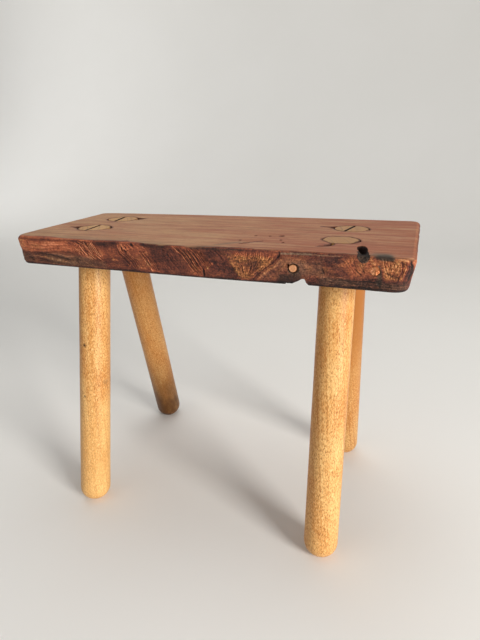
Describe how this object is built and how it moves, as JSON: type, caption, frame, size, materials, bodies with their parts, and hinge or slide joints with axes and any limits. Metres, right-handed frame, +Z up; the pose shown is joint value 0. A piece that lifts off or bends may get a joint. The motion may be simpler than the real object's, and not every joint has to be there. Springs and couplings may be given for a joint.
{
  "type": "low staked stool",
  "caption": "Low stool: an old timber slab with one natural edge on splayed round legs, their tenons run through the seat and wedged flush.",
  "frame": {"origin": "on the floor, under the middle of the stool's overall box", "axes": "+X along the seat towards its wide end, +Z up from the floor to the sitting face, and -Y towards the side with the natural edge"},
  "size_m": [0.4086, 0.2344, 0.3173],
  "materials": {
    "slab_timber": "dark red-brown old timber, oiled, satin on the sitting face and rough on the natural edge",
    "leg_timber": "pale golden timber with fine flecks, sanded and oiled to a soft gloss",
    "wedge_timber": "thin dark slips, trimmed just under the surface",
    "dowel_timber": "light orange end grain, raw"
  },
  "bodies": {
    "root": {"seat_slab": "slab_timber", "leg_front_left": "leg_timber", "leg_back_left": "leg_timber", "leg_front_right": "leg_timber", "leg_back_right": "leg_timber", "wedge_front_left": "wedge_timber", "wedge_back_left": "wedge_timber", "wedge_back_right": "wedge_timber", "edge_dowel_inner": "dowel_timber", "edge_dowel_outer": "dowel_timber"}
  },
  "joints": []
}
